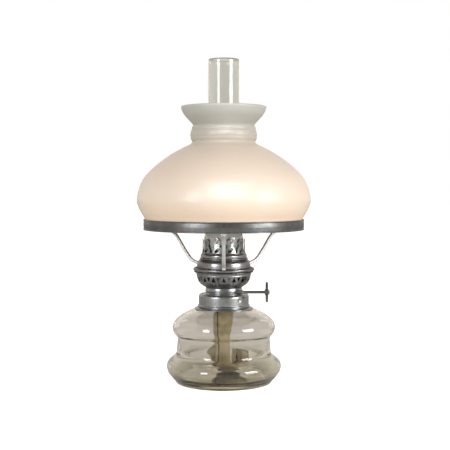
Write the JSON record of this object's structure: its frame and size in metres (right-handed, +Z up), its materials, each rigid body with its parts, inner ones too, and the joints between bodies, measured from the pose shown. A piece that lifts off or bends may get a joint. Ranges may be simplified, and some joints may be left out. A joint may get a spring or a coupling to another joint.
{
  "type": "oil lamp",
  "caption": "Kerosene table lamp with a pressed-glass font, screw-in round-wick burner, glass chimney and opal dome shade on a lift-off armed holder.",
  "frame": {"origin": "centre of the foot, on the surface the lamp stands on", "axes": "+Z up along the lamp's axis, -Y the front, +X towards the wick raiser's knob"},
  "size_m": [0.2052, 0.2052, 0.3826],
  "materials": {
    "font_glass": "clear pressed glass, slightly grey, with an oily film inside",
    "chimney_glass": "thin clear blown glass",
    "opal_glass": "opal cased glass, cream, glossy",
    "pewter": "dull nickel plate with a dark patina",
    "holder_steel": "satin bare steel",
    "raiser_steel": "dark steel",
    "cotton": "woven cotton soaked in oil",
    "plaster": "matte plaster cement",
    "cork": "pressed cork ring"
  },
  "bodies": {
    "font": {"font_glass": "font_glass", "font_collar": "pewter", "collar_cement": "plaster"},
    "seal": {"burner_seal": "cork"},
    "burner": {"burner_base": "pewter", "burner_basket": "pewter", "burner_deck": "pewter", "gallery_dome": "pewter", "gallery_crown": "pewter", "outer_wick_tube": "pewter", "inner_air_tube": "pewter", "raiser_gland": "pewter", "raiser_bearing": "pewter"},
    "raiser": {"raiser_shaft": "raiser_steel", "spur_wheel_1": "raiser_steel", "spur_wheel_2": "raiser_steel", "spur_wheel_3": "raiser_steel", "spur_wheel_4": "raiser_steel", "raiser_collar": "raiser_steel", "knob_wheel": "pewter", "knob_cap": "raiser_steel"},
    "wick": {"wick": "cotton"},
    "holder": {"holder_base_ring": "holder_steel", "holder_arm_1": "holder_steel", "holder_arm_2": "holder_steel", "holder_arm_3": "holder_steel", "arm_rivet_1": "holder_steel", "arm_rivet_2": "holder_steel", "arm_rivet_3": "holder_steel", "shade_ring": "pewter"},
    "chimney": {"chimney_glass": "chimney_glass"},
    "shade": {"opal_shade": "opal_glass"}
  },
  "joints": [
    {"name": "burner_rise", "type": "slide", "parent": "font", "child": "seal", "axis": [0, 0, 1], "range_m": [0, 0.0046]},
    {"name": "burner_turn", "type": "hinge", "parent": "seal", "child": "burner", "pos_m": [0, 0, 0.106], "axis": [0, 0, 1], "range_deg": [0, 540]},
    {"name": "knob_turn", "type": "hinge", "parent": "burner", "child": "raiser", "pos_m": [0, -0.0155, 0.1085], "axis": [1, 0, 0], "range_deg": [0, 180]},
    {"name": "wick_lift", "type": "slide", "parent": "burner", "child": "wick", "axis": [0, 0, 1], "range_m": [0, 0.0102]},
    {"name": "chimney_lift", "type": "slide", "parent": "burner", "child": "chimney", "axis": [0, 0, 1], "range_m": [0, 0.19]},
    {"name": "holder_lift", "type": "slide", "parent": "burner", "child": "holder", "axis": [0, 0, 1], "range_m": [0, 0.25]},
    {"name": "shade_lift", "type": "slide", "parent": "holder", "child": "shade", "axis": [0, 0, 1], "range_m": [0, 0.21]}
  ],
  "couplings": [
    {"joint": "burner_rise", "follows": "burner_turn", "m_per_rad": 0.00047746},
    {"joint": "wick_lift", "follows": "knob_turn", "m_per_rad": 0.0032}
  ]
}
